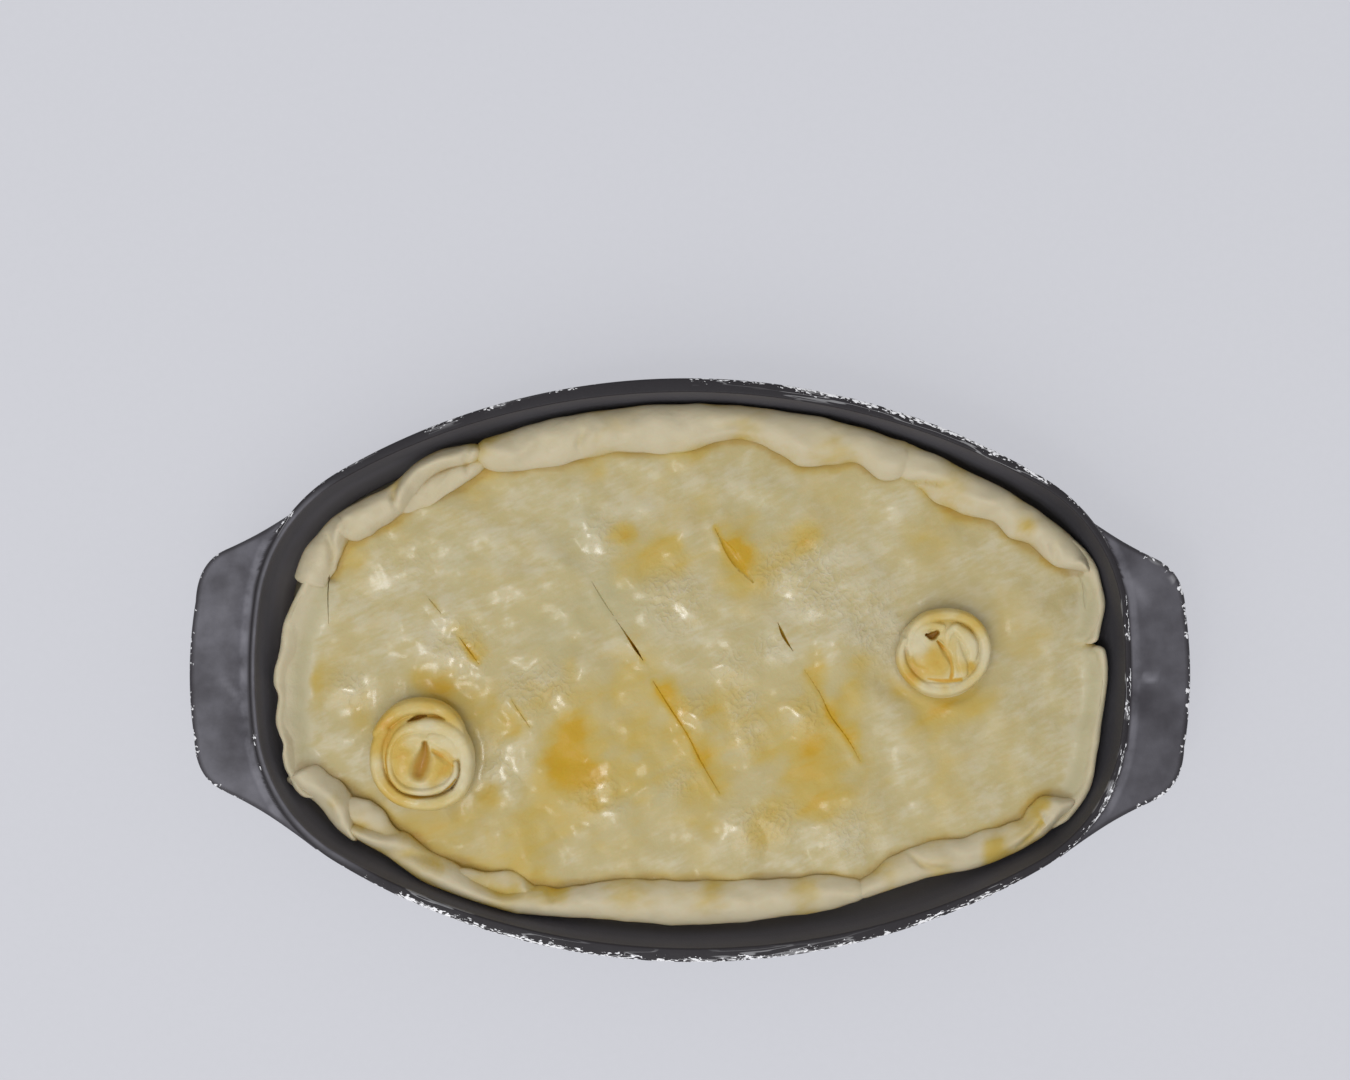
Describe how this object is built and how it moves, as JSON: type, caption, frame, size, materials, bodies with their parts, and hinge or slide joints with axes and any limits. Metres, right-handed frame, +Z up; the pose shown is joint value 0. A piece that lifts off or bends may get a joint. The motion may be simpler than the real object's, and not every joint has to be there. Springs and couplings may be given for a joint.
{
  "type": "chicken pie",
  "caption": "Unbaked pie with a slit lid, a hand-folded border and rolled dough roses, in an oval metal dish with flat lug handles.",
  "frame": {"origin": "under the middle of the dish, on its flat base", "axes": "+X along the dish from one lug to the other, +Y across it, +Z up out of the mouth"},
  "size_m": [0.38, 0.221, 0.0523],
  "materials": {
    "dish_metal": "dark coated cast metal, satin, chipped bare along the rim and the lug edges",
    "pie_dough": "raw pastry brushed with egg: wet and yellow on the lid, pale and drier on the folded border",
    "rose_dough": "rolled raw pastry brushed with egg, with darker egg pooled in the creases"
  },
  "bodies": {
    "root": {"dish": "dish_metal", "pie": "pie_dough", "rose_left": "rose_dough", "rose_right": "rose_dough"}
  },
  "joints": []
}
